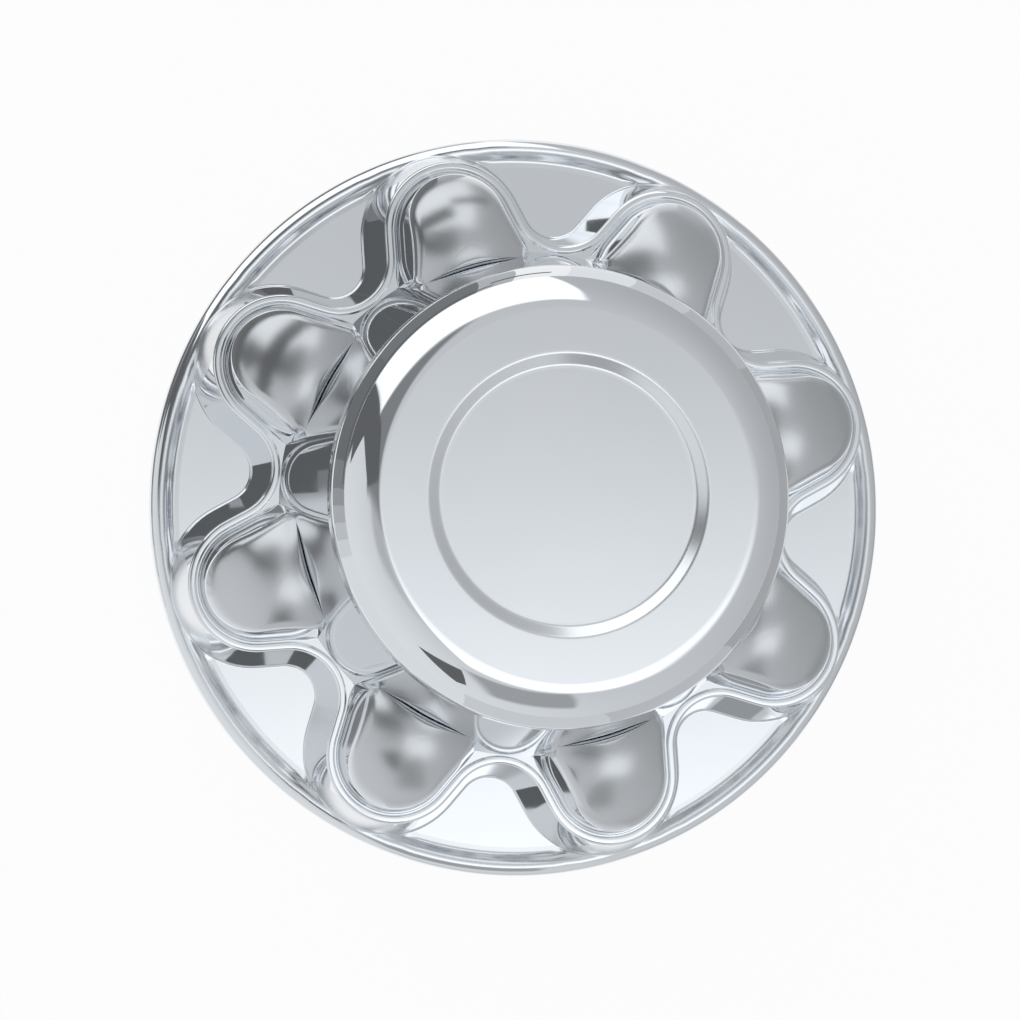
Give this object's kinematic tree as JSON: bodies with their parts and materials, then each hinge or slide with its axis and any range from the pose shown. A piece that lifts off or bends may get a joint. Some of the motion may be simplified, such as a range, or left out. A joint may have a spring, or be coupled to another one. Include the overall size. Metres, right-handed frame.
{
  "type": "axle hub cover",
  "caption": "Round chromed push-on hub cover: a raised round cap in the middle, ringed by crowned lug nut domes on a scalloped base inside a thin flat rim with a rounded edge bead.",
  "frame": {"origin": "centre of the rim's back plane, where the cover meets the wheel", "axes": "+Z outwards along the axle, +X through the centre of the first lug dome"},
  "size_m": [0.2186, 0.2186, 0.0869],
  "materials": {
    "chrome_plating": "bright mirror chrome plating on a moulded ABS shell",
    "spring_wire": "drawn stainless spring wire"
  },
  "bodies": {
    "root": {"cover_shell": "chrome_plating", "lug_ring_1": "spring_wire", "lug_ring_2": "spring_wire", "lug_ring_3": "spring_wire", "lug_ring_4": "spring_wire", "lug_ring_5": "spring_wire", "lug_ring_6": "spring_wire", "lug_ring_7": "spring_wire", "lug_ring_8": "spring_wire"}
  },
  "joints": []
}
